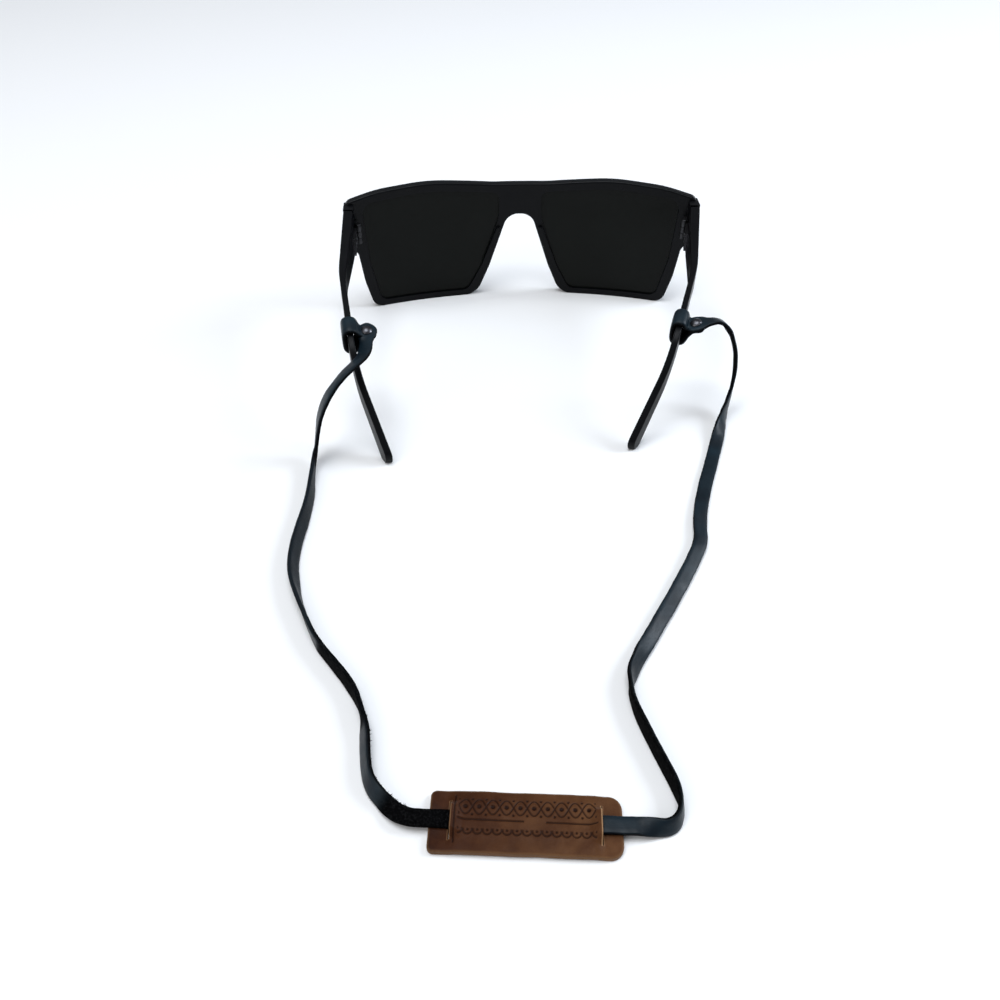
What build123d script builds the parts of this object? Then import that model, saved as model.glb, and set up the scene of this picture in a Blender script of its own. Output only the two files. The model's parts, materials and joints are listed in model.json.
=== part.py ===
"""Sunglasses wearing a flat leather retainer strap: two temple loops, a lace and a slotted leather tag."""
import os
from math import cos, pi, radians, sin, tan

from build123d import *

os.makedirs("parts", exist_ok=True)

# ---------------------------------------------------------------- driving dimensions, mm
# The part stands on its lens rims and temple tips, with the lenses towards +Y.
front_y = 57.2              # back face of the bridge, measured from the origin
lean = 2.0                  # the front leans forward at the top, degrees
wrap_radius = 206.0         # face curve of the back of the front
rim_thickness = 4.0
rim_rounding = 0.8
rim_bottom = -0.5            # the moulding's lower edge, cut flat where the rims stand
front_half_width = 75.3
bridge_top = 52.4
bridge_underside = 38.6

lens_thickness = 2.0
lens_inset = 1.0            # from the back of the rim to the back of the lens
groove_depth = 0.9
groove_play = 0.05

hinge_x = 69.6              # hinge pin, each side of the middle
hinge_y = front_y - 15.6
knuckle_radius = 1.4
knuckle_height = 2.5
knuckle_gap = 0.2
hinge_bottom = 35.2
hinge_top = hinge_bottom + 3 * knuckle_height + 2 * knuckle_gap
leaf_thickness = 1.0
leaf_start = knuckle_radius + 0.6   # the leaf plates start this far from the pin
leaf_overlap = 0.2          # a knuckle's web runs this far into its plate
knuckle_web = 0.8
front_leaf_length = 3.2
leaf_play = 0.05            # round a leaf in its pocket
temple_leaf_length = 9.4
screw_diameter = 1.4
screw_play = 0.05
leaf_rivet_diameter = 1.2
leaf_rivet_head = 2.2
leaf_rivet_head_height = 0.45
screw_head_diameter = 2.5
screw_head_height = 0.8
screw_slot = (0.35, 0.7)    # width, depth twice over
inner_face_x = hinge_x + 1.6    # inner face of end piece and temple at the hinge
joint_gap = 0.1             # half of the gap between end piece and temple

temple_thickness = 2.4      # along the stretch that carries the strap loop
temple_height = 7.5
temple_rounding = 0.44
temple_toe_in = 0.15        # sideways run of that stretch per mm
temple_fall = 0.18          # drop of that stretch per mm
right_swing = 11.0          # the right temple stands this far folded in, degrees

lace_width = 5.0
lace_thickness = 1.4
lace_diameter = 3.0         # round section of the same area
floor_gap = 0.05
loop_y = front_y - 84.0     # where the strap loops sit on the temples
loop_play = 0.45
rivet_reach = 4.4           # rivet axis from where the loop's two layers meet
rivet_shank = 2.0
rivet_cap = 4.4
rivet_cap_height = 1.3
rivet_cap_edge = 0.35       # straight edge under the dome
rivet_flange = 3.8
rivet_flange_height = 0.6
stub_length = 5.6           # from the rivet to where the free lace starts
straight_out = 3.4          # the lace leaves its loop and the tag straight for this far

tag_centre = (-14.4, front_y - 266.3)
tag_angle = -4.8
tag_length = 51.4
tag_width = 17.4
tag_thickness = 1.8
tag_corner = 3.0
tag_rise = 1.55             # the middle stands this much proud, over the lace
slit_x = 20.2
slit_length = 11.0
slit_width = 2.4
lace_overhang = 3.2         # of the woven lace past each end of the tag

# ---------------------------------------------------------------- planes of the front
lean_sin = sin(radians(lean))
lean_cos = cos(radians(lean))
front_plane = Plane(origin=(0, front_y, 0), x_dir=(1, 0, 0), z_dir=(0, -lean_cos, lean_sin))
wrap_plane = Plane(origin=(0, front_y, 0), x_dir=(1, 0, 0), z_dir=(0, lean_sin, lean_cos))
reach = 90.0                # longer than anything that it cuts
band_depth = 60.0           # room for the wrapped front in plan
below_floor = 5.0


def write(builder, name):
    """Label a finished piece and write its STEP file."""
    builder.part.label = name
    export_step(builder.part, f"parts/{name}.step")


def rounded_outline(corners):
    """A face from (x, y, radius) corners, each rounded by its own radius."""
    with BuildSketch() as outline:
        with BuildLine():
            Polyline(*[(x, y) for x, y, _ in corners], close=True)
        make_face()
        for x, y, radius in corners:
            if radius:
                fillet(outline.vertices().sort_by_distance((x, y))[0], radius)
    return outline.sketch


def wrap_band(back, thickness):
    """Plan section of the wrapped front between two depths from its back face."""
    with BuildSketch() as band:
        with Locations((0, -wrap_radius)):
            Circle(wrap_radius + back + thickness)
            Circle(wrap_radius + back, mode=Mode.SUBTRACT)
        Rectangle(2 * reach, band_depth, mode=Mode.INTERSECT)
    return band.sketch


def wrapped_panel(outline, back, thickness):
    """A panel of the given front outline, bent to the face curve."""
    with BuildPart() as panel:
        with BuildSketch(front_plane):
            add(outline)
        extrude(amount=band_depth, both=True)
        with BuildSketch(wrap_plane.offset(-below_floor)):
            add(wrap_band(back, thickness))
        extrude(amount=reach, mode=Mode.INTERSECT)
    return panel.part


def mirrored(shape):
    return mirror(shape, about=Plane.YZ, mode=Mode.PRIVATE)


# right half of the front, from the middle of the brow round to the bridge
half_front = rounded_outline([
    (0, bridge_top, 0),
    (12, bridge_top, 60),
    (40, bridge_top + 2.4, 90),
    (62, bridge_top + 1.0, 60),
    (front_half_width, 50.6, 3.5),
    (front_half_width, 32.0, 1.5),
    (71.2, 27.0, 5),
    (69.4, 13.0, 40),
    (66.0, rim_bottom, 5),
    (19.6, rim_bottom, 9),
    (13.4, 14.0, 30),
    (5.2, bridge_underside, 6.5),
    (0, bridge_underside, 0),
])

lens_opening = rounded_outline([
    (9.2, bridge_top - 3.8, 3),
    (40, bridge_top - 1.2, 90),
    (68.2, bridge_top - 3.4, 5),
    (66.6, 22.0, 30),
    (62.6, 2.6, 4),
    (23.4, 2.6, 4.5),
    (17.0, 14.5, 25),
    (9.2, 37.5, 15),
])


def lens_outline(grow):
    with BuildSketch() as outline:
        add(lens_opening)
        if grow:
            offset(amount=grow)
    return outline.sketch


# ---------------------------------------------------------------- front frame
lens_seat = wrapped_panel(
    lens_outline(groove_depth), lens_inset - groove_play, lens_thickness + 2 * groove_play)
lens_window = wrapped_panel(lens_opening, -1.0, rim_thickness + 2.0)

pad_outline = rounded_outline([
    (8.2, 33.0, 0.7),
    (10.0, 33.0, 0.7),
    (17.0, 15.0, 1.0),
    (14.6, 14.2, 1.0),
])
pad_depth = 1.6
end_piece_low = 32.6
end_piece_high = 50.2
end_piece_depth = 6.5
leaf_rivet_z = hinge_bottom + 1.5 * knuckle_height + knuckle_gap
front_rivet_spread = 4.4
front_rivet_y = hinge_y + 2.9
rivet_depth = 2.6           # how far a leaf rivet goes into the plastic
rivet_hole_play = 0.02


def leaf_rivet(y, z):
    """A small domed rivet through a hinge leaf, into the plastic towards -X."""
    with BuildPart() as rivet:
        with Locations(Plane(origin=(-inner_face_x + leaf_thickness, y, z), z_dir=(1, 0, 0))):
            Cylinder(leaf_rivet_diameter / 2, leaf_thickness + rivet_depth,
                     align=(Align.CENTER, Align.CENTER, Align.MAX))
            Cylinder(leaf_rivet_head / 2, leaf_rivet_head_height, align=(Align.CENTER, Align.CENTER, Align.MIN))
        fillet(rivet.edges().filter_by(GeomType.CIRCLE).sort_by(Axis.X)[-1], 0.35)
    return rivet.part


def rivet_hole(y, z):
    with BuildPart() as hole:
        with Locations(Plane(origin=(-inner_face_x + 2 * leaf_thickness, y, z), z_dir=(1, 0, 0))):
            Cylinder(leaf_rivet_diameter / 2 + rivet_hole_play, 2 * leaf_thickness + rivet_depth,
                     align=(Align.CENTER, Align.CENTER, Align.MAX))
    return hole.part


front_rivet_places = [(front_rivet_y, leaf_rivet_z - front_rivet_spread / 2),
                      (front_rivet_y, leaf_rivet_z + front_rivet_spread / 2)]
temple_rivet_places = [(hinge_y - 5.0, leaf_rivet_z), (hinge_y - 9.0, leaf_rivet_z)]

with BuildPart() as front_frame:
    with BuildSketch(front_plane):
        add(half_front)
        mirror(about=Plane.YZ)
    extrude(amount=band_depth, both=True)
    with BuildSketch(wrap_plane.offset(-below_floor)):
        add(wrap_band(0, rim_thickness))
    extrude(amount=reach, mode=Mode.INTERSECT)
    # every edge of the front is rounded but the short ones through its thickness
    fillet(front_frame.edges().filter_by(
        lambda edge: abs((edge % 0.5).Y) < 0.9 or edge.length > rim_thickness + 0.6), rim_rounding)
    # moulded nose pads stand off the back of each inner rim
    with BuildSketch(front_plane.offset(-1.0)):
        add(pad_outline)
        mirror(about=Plane.YZ)
    extrude(amount=1.0 + pad_depth)
    # end pieces carry the hinges
    with Locations((-(inner_face_x + front_half_width) / 2, hinge_y + joint_gap, end_piece_low),
                   ((inner_face_x + front_half_width) / 2, hinge_y + joint_gap, end_piece_low)):
        Box(front_half_width - inner_face_x, end_piece_depth, end_piece_high - end_piece_low,
            align=(Align.CENTER, Align.MIN, Align.MIN))
    for window in (lens_window, mirrored(lens_window), lens_seat, mirrored(lens_seat)):
        add(window, mode=Mode.SUBTRACT)
    for place in front_rivet_places:
        add(rivet_hole(*place), mode=Mode.SUBTRACT)
        add(mirrored(rivet_hole(*place)), mode=Mode.SUBTRACT)
    # the front leaves are let into the moulding
    with Locations((-inner_face_x, hinge_y + leaf_start, hinge_bottom - leaf_play),
                   (inner_face_x - leaf_thickness, hinge_y + leaf_start, hinge_bottom - leaf_play)):
        Box(leaf_thickness, front_leaf_length + leaf_play, hinge_top - hinge_bottom + 2 * leaf_play,
            align=(Align.MIN, Align.MIN, Align.MIN), mode=Mode.SUBTRACT)
    # the rims stand on flats
    split(bisect_by=Plane.XY, keep=Keep.TOP)
write(front_frame, "front_frame")

# ---------------------------------------------------------------- lenses
with BuildPart() as right_lens:
    add(wrapped_panel(lens_outline(groove_depth - groove_play), lens_inset, lens_thickness))
write(right_lens, "right_lens")

with BuildPart() as left_lens:
    add(mirrored(right_lens.part))
write(left_lens, "left_lens")

# ---------------------------------------------------------------- hinges, made for the left side
right_hinge_axis = Axis((hinge_x, hinge_y, 0), (0, 0, 1))


def hinge_leaf(knuckles, direction, length):
    """A flat leaf on the inner face, with its knuckles round the pin; direction is along Y."""
    side = Align.MIN if direction > 0 else Align.MAX
    with BuildPart() as leaf:
        with BuildSketch(Plane.XY.offset(hinge_bottom)):
            with Locations((-inner_face_x + leaf_thickness / 2, hinge_y + direction * leaf_start)):
                Rectangle(leaf_thickness, length, align=(Align.CENTER, side))
        extrude(amount=hinge_top - hinge_bottom)
        for knuckle in knuckles:
            knuckle_bottom = hinge_bottom + knuckle * (knuckle_height + knuckle_gap)
            with BuildSketch(Plane.XY.offset(knuckle_bottom)):
                with Locations((-hinge_x, hinge_y)):
                    Circle(knuckle_radius)
                with Locations((-hinge_x - knuckle_radius, hinge_y)):
                    Rectangle(knuckle_web, leaf_start + leaf_overlap, align=(Align.MIN, side))
            extrude(amount=knuckle_height)
        with Locations((-hinge_x, hinge_y, hinge_bottom)):
            Cylinder(screw_diameter / 2 + screw_play, reach, mode=Mode.SUBTRACT)
        for y, z in front_rivet_places if direction > 0 else temple_rivet_places:
            add(rivet_hole(y, z), mode=Mode.SUBTRACT)
    return leaf.part


def hinge_screw():
    """Slotted hinge screw; its head stands on the top knuckle."""
    with BuildPart() as screw:
        with BuildSketch(Plane.XY.offset(hinge_bottom + 0.2)):
            with Locations((-hinge_x, hinge_y)):
                Circle(screw_diameter / 2)
        extrude(amount=hinge_top - hinge_bottom - 0.2)
        with BuildSketch(Plane.XY.offset(hinge_top)):
            with Locations((-hinge_x, hinge_y)):
                Circle(screw_head_diameter / 2)
        extrude(amount=screw_head_height)
        fillet(screw.edges().filter_by(GeomType.CIRCLE).sort_by(Axis.Z)[-1], 0.3)
        with Locations((-hinge_x, hinge_y, hinge_top + screw_head_height)):
            Box(screw_head_diameter + 1, *screw_slot, mode=Mode.SUBTRACT)
    return screw.part


def turned_in(shape):
    """A right-hand piece of the temple, folded in to where it stands."""
    return shape.rotate(right_hinge_axis, -right_swing)


with BuildPart() as left_front_leaf:
    add(hinge_leaf((0, 2), 1, front_leaf_length))
write(left_front_leaf, "left_front_leaf")

with BuildPart() as right_front_leaf:
    add(mirrored(left_front_leaf.part))
write(right_front_leaf, "right_front_leaf")

with BuildPart() as left_temple_leaf:
    add(hinge_leaf((1,), -1, temple_leaf_length))
write(left_temple_leaf, "left_temple_leaf")

with BuildPart() as right_temple_leaf:
    add(turned_in(mirrored(left_temple_leaf.part)))
write(right_temple_leaf, "right_temple_leaf")

with BuildPart() as left_hinge_screw:
    add(hinge_screw())
write(left_hinge_screw, "left_hinge_screw")

with BuildPart() as right_hinge_screw:
    add(mirrored(left_hinge_screw.part))
write(right_hinge_screw, "right_hinge_screw")

with BuildPart() as left_front_rivets:
    for place in front_rivet_places:
        add(leaf_rivet(*place))
write(left_front_rivets, "left_front_rivets")

with BuildPart() as right_front_rivets:
    add(mirrored(left_front_rivets.part))
write(right_front_rivets, "right_front_rivets")

with BuildPart() as left_temple_rivets:
    for place in temple_rivet_places:
        add(leaf_rivet(*place))
write(left_temple_rivets, "left_temple_rivets")

with BuildPart() as right_temple_rivets:
    add(turned_in(mirrored(left_temple_rivets.part)))
write(right_temple_rivets, "right_temple_rivets")

# ---------------------------------------------------------------- temples
temple_front_y = hinge_y - joint_gap
temple_mid_x = -69.4        # middle of the left temple where its strap loop sits
temple_mid_z = 34.0
half_thickness = temple_thickness / 2 / cos(temple_toe_in)


def temple_x(y, side):
    """Outer (-1) or inner (+1) face of the straight stretch of the left temple."""
    return temple_mid_x + side * half_thickness + temple_toe_in * (loop_y - y)


def temple_z(y, side):
    """Upper (+1) or lower (-1) edge of the straight stretch of the left temple."""
    return temple_mid_z + side * temple_height / 2 - temple_fall * (loop_y - y)


bend_y = loop_y - 8.6       # the ear bend
shaft_y = loop_y + 19.0     # front end of the straight stretch

temple_side = rounded_outline([
    (temple_front_y, end_piece_high, 1.0),
    (temple_front_y - 12, 48.2, 40),
    (shaft_y, temple_z(shaft_y, 1), 60),
    (bend_y, temple_z(bend_y, 1), 12),
    (loop_y - 36.4, 4.0, 4),
    (loop_y - 35.4, 0, 1.6),
    (loop_y - 32.2, 0, 2),
    (loop_y - 11.8, 26.0, 9),
    (bend_y + 1.5, temple_z(bend_y + 1.5, -1), 8),
    (shaft_y + 3, temple_z(shaft_y + 3, -1), 40),
    (temple_front_y - 16, 33.8, 20),
    (temple_front_y, 33.2, 1.0),
])

temple_plan = rounded_outline([
    (-front_half_width + 0.2, temple_front_y, 0.5),
    (-front_half_width + 0.2, front_y - 52.7, 60),
    (temple_x(front_y - 98, -1), front_y - 98, 45),
    (-55.6, front_y - 122.3, 1.0),
    (-53.2, front_y - 121.4, 1.0),
    (temple_x(front_y - 97.4, 1), front_y - 97.4, 45),
    (temple_x(front_y - 56, 1), front_y - 56, 60),
    (-inner_face_x - 0.1, front_y - 30, 60),
    (-inner_face_x, front_y - 26, 0),
    (-inner_face_x, temple_front_y, 0),
])

with BuildPart() as left_temple:
    with BuildSketch(Plane.YZ):
        add(temple_side)
    extrude(amount=-reach)
    with BuildSketch(Plane.XY):
        add(temple_plan)
    extrude(amount=reach, mode=Mode.INTERSECT)
    # the edges that run along the temple are rounded
    fillet(left_temple.edges().filter_by(
        lambda edge: max(abs((edge % 0.5).X), abs((edge % 0.5).Z)) < 0.95), temple_rounding)
    for place in temple_rivet_places:
        add(rivet_hole(*place), mode=Mode.SUBTRACT)
write(left_temple, "left_temple")

with BuildPart() as right_temple:
    add(turned_in(mirrored(left_temple.part)))
write(right_temple, "right_temple")

# ---------------------------------------------------------------- strap loops and their rivets
left_run = Vector(temple_toe_in, -1, -temple_fall).normalized()
right_run = Vector(-temple_toe_in, -1, -temple_fall).normalized().rotate(Axis.Z, -right_swing)
left_loop_centre = Vector(temple_mid_x, loop_y, temple_mid_z)
right_loop_centre = Vector(-temple_mid_x, loop_y, temple_mid_z)
right_loop_centre = (right_loop_centre - Vector(hinge_x, hinge_y, 0)).rotate(
    Axis.Z, -right_swing) + Vector(hinge_x, hinge_y, 0)


def across(run):
    """The level direction, towards +X, square to the temple's run."""
    return Vector(-run.Y, run.X, 0).normalized()


left_loop_plane = Plane(origin=left_loop_centre, x_dir=across(left_run), z_dir=left_run)
right_loop_plane = Plane(origin=right_loop_centre, x_dir=across(right_run), z_dir=right_run)

opening_half_width = temple_thickness / 2 + loop_play
opening_half_height = temple_height / 2 + loop_play
opening_corner = 1.1
pad_radius = lace_width / 2 + 0.1

# where the two layers meet on each loop, how far their pad tilts up, and how the lace leaves it
left_pad_root = (1.9, 0.0)
left_pad_tilt = 0.0
left_exit_angle = -98.0     # the left lace runs back beside the temple
right_pad_root = (1.9, 0.8)
right_pad_tilt = 15.0
right_exit_angle = 14.0     # the right lace runs straight out, away from the glasses


def rivet_plane(loop_plane, root, tilt):
    """The seam between the pad's two layers: origin at the rivet, x away from the temple."""
    turn = radians(tilt)
    outward = loop_plane.x_dir * cos(turn) + loop_plane.y_dir * sin(turn)
    upward = loop_plane.y_dir * cos(turn) - loop_plane.x_dir * sin(turn)
    origin = loop_plane.from_local_coords(Vector(*root, 0)) + outward * rivet_reach
    return Plane(origin=origin, x_dir=outward, z_dir=upward)


left_pad_plane = rivet_plane(left_loop_plane, left_pad_root, left_pad_tilt)
right_pad_plane = rivet_plane(right_loop_plane, right_pad_root, right_pad_tilt)


def strap_loop(loop_plane, root, tilt, pad_plane, exit_angle):
    """A leather band round the temple, closed on a flat pad that the lace leaves from."""
    with BuildPart() as loop:
        with BuildSketch(loop_plane):
            RectangleRounded(2 * (opening_half_width + lace_thickness),
                             2 * (opening_half_height + lace_thickness),
                             opening_corner + lace_thickness)
            with Locations(Location((*root, 0), (0, 0, tilt))):
                Rectangle(rivet_reach, 2 * lace_thickness, align=(Align.MIN, Align.CENTER))
            RectangleRounded(2 * opening_half_width, 2 * opening_half_height, opening_corner,
                             mode=Mode.SUBTRACT)
        extrude(amount=lace_width / 2, both=True)
        with BuildSketch(pad_plane):
            Circle(pad_radius)
        extrude(amount=lace_thickness, both=True)
        # the upper layer runs on towards the free lace
        with BuildSketch(pad_plane):
            with Locations(Location((0, 0, 0), (0, 0, exit_angle))):
                Rectangle(stub_length, lace_width, align=(Align.MIN, Align.CENTER))
        extrude(amount=lace_thickness)
        with BuildSketch(pad_plane):
            Circle(rivet_shank / 2)
        extrude(amount=2 * lace_thickness, both=True, mode=Mode.SUBTRACT)
    return loop.part


def rivet_post(pad_plane):
    """Lower half of the rivet: a flange under the leather and a shank up through it."""
    with BuildPart() as post:
        with BuildSketch(pad_plane.offset(-lace_thickness)):
            Circle(rivet_flange / 2)
        extrude(amount=-rivet_flange_height)
        with BuildSketch(pad_plane.offset(-lace_thickness)):
            Circle(rivet_shank / 2)
        extrude(amount=2 * lace_thickness + rivet_cap_height / 2)
    return post.part


def rivet_dome(pad_plane):
    """Upper half of the rivet: a domed cap pressed over the end of the shank."""
    cap_radius = rivet_cap / 2
    seat = pad_plane.offset(lace_thickness)
    section = Plane(origin=seat.origin, x_dir=seat.x_dir, z_dir=-seat.y_dir)
    with BuildPart() as dome:
        with BuildSketch(section):
            with BuildLine():
                TangentArc((0, rivet_cap_height), (cap_radius, rivet_cap_edge), tangent=(1, 0))
                Polyline((cap_radius, rivet_cap_edge), (cap_radius, 0), (0, 0), (0, rivet_cap_height))
            make_face()
        revolve(axis=Axis(seat.origin, seat.z_dir))
        with BuildSketch(seat):
            Circle(rivet_shank / 2)
        extrude(amount=rivet_cap_height / 2, mode=Mode.SUBTRACT)
    return dome.part


with BuildPart() as left_loop:
    add(strap_loop(left_loop_plane, left_pad_root, left_pad_tilt, left_pad_plane, left_exit_angle))
write(left_loop, "left_loop")

with BuildPart() as right_loop:
    add(strap_loop(right_loop_plane, right_pad_root, right_pad_tilt, right_pad_plane, right_exit_angle))
write(right_loop, "right_loop")

for side, pad_plane in (("left", left_pad_plane), ("right", right_pad_plane)):
    with BuildPart() as post:
        add(rivet_post(pad_plane))
    write(post, f"{side}_rivet_post")
    with BuildPart() as cap:
        add(rivet_dome(pad_plane))
    write(cap, f"{side}_rivet_cap")


# ---------------------------------------------------------------- leather tag and the lace woven through it
tag_plane = Plane(origin=(*tag_centre, 0), x_dir=(cos(radians(tag_angle)), sin(radians(tag_angle)), 0),
                  z_dir=(0, 0, 1))
tag_side_plane = Plane(origin=tag_plane.origin, x_dir=tag_plane.x_dir, z_dir=-tag_plane.y_dir)
margin_x = slit_x + slit_width / 2
step_x = slit_x - slit_width / 2
weave_play = 0.1            # between the tag and the lace woven through it
lace_low = weave_play       # underside of the woven lace below the raised middle
lace_high = tag_thickness + weave_play


def slot_section(lower, upper, half_length, thickness):
    """Side view of a strip that is low at one place and high at another, bent in between."""
    inner, outer = (lower, upper) if lower[0] < upper[0] else (upper, lower)
    x1, z1 = inner
    x2, z2 = outer
    under = [(-half_length, z2), (-x2, z2), (-x1, z1), (x1, z1), (x2, z2), (half_length, z2)]
    over = [(x, z + thickness) for x, z in reversed(under)]
    with BuildSketch() as section:
        with BuildLine():
            Polyline(*under, *over, close=True)
        make_face()
    return section.sketch


with BuildPart() as leather_tag:
    with BuildSketch(tag_side_plane):
        add(slot_section((margin_x, 0), (step_x, tag_rise), tag_length / 2, tag_thickness))
    extrude(amount=tag_width / 2, both=True)
    with BuildSketch(tag_plane):
        RectangleRounded(tag_length, tag_width, tag_corner)
    extrude(amount=reach, mode=Mode.INTERSECT)
    with BuildSketch(tag_plane):
        with Locations((-slit_x, 0), (slit_x, 0)):
            Rectangle(slit_width, slit_length)
    extrude(amount=reach, mode=Mode.SUBTRACT)
write(leather_tag, "leather_tag")

woven_half_length = tag_length / 2 + lace_overhang
woven_out_x = margin_x - weave_play     # where the lace lies flat on the margin again
woven_in_x = step_x + weave_play
with BuildPart() as lace_middle:
    with BuildSketch(tag_side_plane):
        add(slot_section((woven_in_x, lace_low), (woven_out_x, lace_high), woven_half_length,
                         lace_thickness))
    extrude(amount=lace_width / 2, both=True)
write(lace_middle, "lace_middle")

# ---------------------------------------------------------------- free lace, from each loop to the tag
lying_z = lace_diameter / 2 + floor_gap


def route_start(pad_plane, exit_angle):
    """Middle of the loop's cut end, where the free lace starts, and a point straight out of it."""
    turn = radians(exit_angle)
    start, ahead = (pad_plane.from_local_coords(
        Vector(length * cos(turn), length * sin(turn), lace_thickness / 2))
        for length in (stub_length, stub_length + straight_out))
    return [start, ahead]


def woven_end(side):
    """Middle of the woven lace's end face, left (-1) or right (+1), and a point straight out of it."""
    height = lace_high + lace_thickness / 2
    return [tag_plane.from_local_coords(Vector(side * (woven_half_length + out), 0, height))
            for out in (straight_out, 0)]


left_route = route_start(left_pad_plane, left_exit_angle) + [
    (-64.0, -41.2, 33.8),
    (-66.6, -47.6, 35.0),
    (-70.6, -53.0, 34.0),
    (-74.8, -56.6, 30.2),
    (-78.1, -57.8, 24.4),
    (-80.4, -57.4, 17.6),
    (-81.7, -57.0, 11.0),
    (-82.7, -58.8, 5.4),
    (-83.4, -64.2, 2.2),
    (-83.3, -72.0, lying_z),
    (-83.0, -81.0, lying_z),
    (-84.0, -92.0, lying_z),
    (-85.6, -103.4, lying_z),
    (-85.9, -114.6, lying_z),
    (-83.4, -126.4, lying_z),
    (-79.2, -137.4, lying_z),
    (-75.0, -147.2, lying_z),
    (-69.6, -154.8, lying_z),
    (-64.4, -162.0, lying_z),
    (-60.4, -169.4, lying_z),
    (-58.4, -177.6, lying_z),
    (-57.9, -187.0, lying_z),
    (-56.7, -195.4, lying_z),
    (-52.4, -201.4, lying_z),
] + woven_end(-1)

right_route = route_start(right_pad_plane, right_exit_angle) + [
    (74.2, -30.6, 35.8),
    (77.4, -31.4, 28.8),
    (79.2, -31.0, 20.8),
    (79.6, -31.6, 12.8),
    (77.8, -35.4, 6.2),
    (74.4, -43.0, 2.4),
    (70.6, -52.6, lying_z),
    (66.6, -63.4, lying_z),
    (61.4, -76.6, lying_z),
    (57.0, -88.8, lying_z),
    (54.2, -99.4, lying_z),
    (53.2, -107.6, lying_z),
    (49.4, -115.2, lying_z),
    (43.8, -124.8, lying_z),
    (36.8, -136.2, lying_z),
    (29.8, -147.2, lying_z),
    (23.2, -157.4, lying_z),
    (19.6, -165.4, lying_z),
    (19.6, -173.2, lying_z),
    (22.0, -182.8, lying_z),
    (24.8, -192.4, lying_z),
    (27.4, -201.0, lying_z),
    (27.8, -207.6, lying_z),
    (24.4, -212.4, lying_z),
] + woven_end(1)

arc_share = 0.45            # of the shorter run at a corner, taken by its arc


def bend_radii(route):
    """The largest radius that each corner's two runs leave room for."""
    points = [Vector(*point) for point in route]
    radii = []
    for before, corner, after in zip(points, points[1:], points[2:]):
        coming, going = corner - before, after - corner
        half_turn = radians(coming.get_angle(going)) / 2
        radii.append(arc_share * min(coming.length, going.length) / tan(half_turn))
    return radii


def lace_tube(route):
    """The free lace as a round tube of the same section, on straight runs and tangent arcs."""
    radii = bend_radii(route)
    with BuildPart() as tube:
        with BuildLine() as path:
            FilletPolyline(*route, radius=radii)
        with BuildSketch(Plane(origin=path.line @ 0, z_dir=path.line % 0)):
            Circle(lace_diameter / 2)
        sweep(path=path.line)
    return tube.part, path.wire().length, radii


for side, route in (("left", left_route), ("right", right_route)):
    solid, centreline, radii = lace_tube(route)
    with BuildPart() as lace:
        add(solid)
    write(lace, f"lace_{side}")
    expected = pi * lace_diameter ** 2 / 4 * centreline
    print(side, "lace", round(centreline, 1), "mm; volume over section times length",
          round(lace.part.volume / expected, 4))
    print("  radii", [round(radius, 1) for radius in radii])
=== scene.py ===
"""Looks of the sunglasses and their flat leather retainer strap."""
import json
from math import cos, hypot, pi, radians, sin
from random import Random

import bpy
from mathutils import Matrix, Vector, noise


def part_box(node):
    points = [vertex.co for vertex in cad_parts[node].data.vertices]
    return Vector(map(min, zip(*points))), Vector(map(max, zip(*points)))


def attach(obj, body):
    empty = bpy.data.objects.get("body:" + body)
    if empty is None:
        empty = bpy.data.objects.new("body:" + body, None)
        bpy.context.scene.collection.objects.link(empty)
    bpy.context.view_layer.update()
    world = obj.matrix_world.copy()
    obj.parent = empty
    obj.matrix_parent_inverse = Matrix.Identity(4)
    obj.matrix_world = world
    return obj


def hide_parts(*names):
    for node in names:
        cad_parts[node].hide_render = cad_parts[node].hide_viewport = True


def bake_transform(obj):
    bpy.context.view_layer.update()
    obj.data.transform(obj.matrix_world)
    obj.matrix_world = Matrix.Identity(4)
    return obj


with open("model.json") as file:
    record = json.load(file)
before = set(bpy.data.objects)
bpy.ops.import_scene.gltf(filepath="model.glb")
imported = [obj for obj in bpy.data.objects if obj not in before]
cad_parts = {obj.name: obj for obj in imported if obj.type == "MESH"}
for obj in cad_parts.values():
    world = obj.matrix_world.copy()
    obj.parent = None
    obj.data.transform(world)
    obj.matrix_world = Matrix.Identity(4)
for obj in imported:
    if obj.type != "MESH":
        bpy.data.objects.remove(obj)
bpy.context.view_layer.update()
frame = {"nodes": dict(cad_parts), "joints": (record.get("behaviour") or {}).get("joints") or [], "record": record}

MM = 0.001
UP = Vector((0, 0, 1))

# ---------------------------------------------------------------- sizes shared with the CAD model, mm
LACE_WIDTH = 5.0
LACE_THICKNESS = 1.4
RIVET_REACH = 4.4           # rivet axis from where the loop's two layers meet
STUB_LENGTH = 5.6           # from the rivet to where the free lace starts
STRAIGHT_OUT = 3.4          # the lace leaves its loop and the tag straight for this far
LOOP_MIDDLES = {"left": (-69.4, -26.8, 34.0), "right": (56.35, -25.51, 34.0)}
PAD_ROOTS = {"left": (1.9, 0.0), "right": (1.9, 0.8)}
PAD_TILTS = {"left": 0.0, "right": radians(15)}
EXITS = {"left": radians(-98), "right": radians(14)}    # how the lace leaves each pad
LYING_Z = 1.55              # middle of the free lace where it lies on the floor
TAG_LENGTH = 51.4
TAG_WIDTH = 17.4
TAG_THICKNESS = 1.8
TAG_RISE = 1.55             # the middle stands this much proud, over the lace
SLIT_X = 20.2
SLIT_LENGTH = 11.0
LACE_OVERHANG = 3.2         # of the woven lace past each end of the tag
WEAVE_PLAY = 0.1            # between the tag and the lace woven through it


def joint(name):
    return next(j for j in frame["joints"] if j["name"] == name)


def box_middle(node):
    low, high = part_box(node)
    return (Vector(low) + Vector(high)) / 2


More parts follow.
